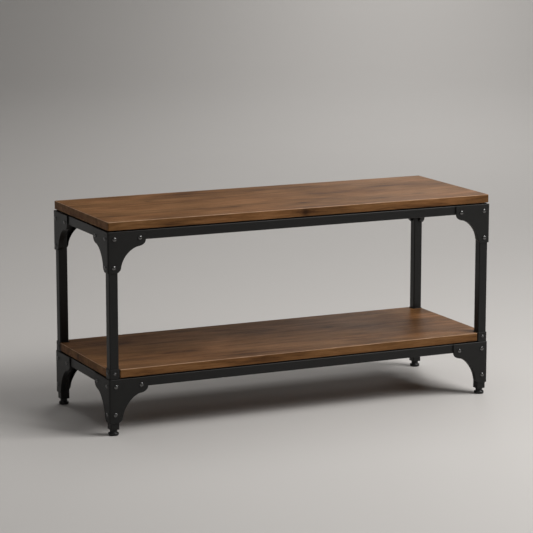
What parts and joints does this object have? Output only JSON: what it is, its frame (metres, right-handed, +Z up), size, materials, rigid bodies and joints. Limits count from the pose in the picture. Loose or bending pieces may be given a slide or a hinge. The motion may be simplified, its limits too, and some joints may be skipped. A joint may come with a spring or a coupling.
{
  "type": "entryway bench",
  "caption": "Industrial bench with a wooden seat and a wooden shoe shelf on a black square-tube steel frame, with riveted corner gussets and levelling feet.",
  "frame": {"origin": "on the floor under the middle of the bench", "axes": "+X along the bench's length, -Y its front, +Z up"},
  "size_m": [1.006, 0.366, 0.5],
  "materials": {
    "wood": "walnut-brown board with fine grain along its length, satin, with a lighter worn line along its eased edges",
    "black_frame": "black satin powder coat on square steel tube",
    "black_plate": "black satin powder coat with a fine texture on folded steel sheet",
    "black_bolt": "black, smoother and glossier than the frame",
    "foot_glide": "black moulded glide, satin",
    "black_plastic": "matt black",
    "zinc_steel": "zinc plated"
  },
  "bodies": {
    "bench": {"seat_board": "wood", "shelf_board": "wood", "leg_front_left": "black_frame", "upper_gusset_front_left": "black_plate", "lower_gusset_front_left": "black_plate", "collar_front_left": "black_plate", "collar_bolt_a_front_left": "black_bolt", "collar_bolt_b_front_left": "black_bolt", "foot_insert_front_left": "black_plastic", "leg_front_right": "black_frame", "upper_gusset_front_right": "black_plate", "lower_gusset_front_right": "black_plate", "collar_front_right": "black_plate", "collar_bolt_a_front_right": "black_bolt", "collar_bolt_b_front_right": "black_bolt", "foot_insert_front_right": "black_plastic", "leg_back_right": "black_frame", "upper_gusset_back_right": "black_plate", "lower_gusset_back_right": "black_plate", "collar_back_right": "black_plate", "collar_bolt_a_back_right": "black_bolt", "collar_bolt_b_back_right": "black_bolt", "foot_insert_back_right": "black_plastic", "leg_back_left": "black_frame", "upper_gusset_back_left": "black_plate", "lower_gusset_back_left": "black_plate", "collar_back_left": "black_plate", "collar_bolt_a_back_left": "black_bolt", "collar_bolt_b_back_left": "black_bolt", "foot_insert_back_left": "black_plastic", "top_rail_front": "black_frame", "seat_spacer_front": "black_plastic", "seat_screw_front_a": "zinc_steel", "seat_screw_front_b": "zinc_steel", "shelf_rail_front": "black_frame", "shelf_spacer_front": "black_plastic", "shelf_screw_front_a": "zinc_steel", "shelf_screw_front_b": "zinc_steel", "top_rail_right": "black_frame", "shelf_rail_right": "black_frame", "top_rail_back": "black_frame", "seat_spacer_back": "black_plastic", "seat_screw_back_a": "zinc_steel", "seat_screw_back_b": "zinc_steel", "shelf_rail_back": "black_frame", "shelf_spacer_back": "black_plastic", "shelf_screw_back_a": "zinc_steel", "shelf_screw_back_b": "zinc_steel", "top_rail_left": "black_frame", "shelf_rail_left": "black_frame", "seat_brace": "black_frame"},
    "foot_front_left": {"foot_pad_front_left": "foot_glide"},
    "stem_front_left": {"foot_stem_front_left": "zinc_steel"},
    "foot_front_right": {"foot_pad_front_right": "foot_glide"},
    "stem_front_right": {"foot_stem_front_right": "zinc_steel"},
    "foot_back_right": {"foot_pad_back_right": "foot_glide"},
    "stem_back_right": {"foot_stem_back_right": "zinc_steel"},
    "foot_back_left": {"foot_pad_back_left": "foot_glide"},
    "stem_back_left": {"foot_stem_back_left": "zinc_steel"}
  },
  "joints": [
    {"name": "foot_slide_front_left", "type": "slide", "parent": "bench", "child": "foot_front_left", "axis": [0, 0, -1], "range_m": [0, 0.01]},
    {"name": "stem_turn_front_left", "type": "hinge", "parent": "foot_front_left", "child": "stem_front_left", "pos_m": [-0.486, -0.166, 0.02], "axis": [0, 0, -1], "range_deg": [0, 2880]},
    {"name": "foot_slide_front_right", "type": "slide", "parent": "bench", "child": "foot_front_right", "axis": [0, 0, -1], "range_m": [0, 0.01]},
    {"name": "stem_turn_front_right", "type": "hinge", "parent": "foot_front_right", "child": "stem_front_right", "pos_m": [0.486, -0.166, 0.02], "axis": [0, 0, -1], "range_deg": [0, 2880]},
    {"name": "foot_slide_back_right", "type": "slide", "parent": "bench", "child": "foot_back_right", "axis": [0, 0, -1], "range_m": [0, 0.01]},
    {"name": "stem_turn_back_right", "type": "hinge", "parent": "foot_back_right", "child": "stem_back_right", "pos_m": [0.486, 0.166, 0.02], "axis": [0, 0, -1], "range_deg": [0, 2880]},
    {"name": "foot_slide_back_left", "type": "slide", "parent": "bench", "child": "foot_back_left", "axis": [0, 0, -1], "range_m": [0, 0.01]},
    {"name": "stem_turn_back_left", "type": "hinge", "parent": "foot_back_left", "child": "stem_back_left", "pos_m": [-0.486, 0.166, 0.02], "axis": [0, 0, -1], "range_deg": [0, 2880]}
  ],
  "couplings": [
    {"joint": "stem_turn_front_left", "follows": "foot_slide_front_left", "rad_per_m": 5026.5},
    {"joint": "stem_turn_front_right", "follows": "foot_slide_front_right", "rad_per_m": 5026.5},
    {"joint": "stem_turn_back_right", "follows": "foot_slide_back_right", "rad_per_m": 5026.5},
    {"joint": "stem_turn_back_left", "follows": "foot_slide_back_left", "rad_per_m": 5026.5}
  ]
}
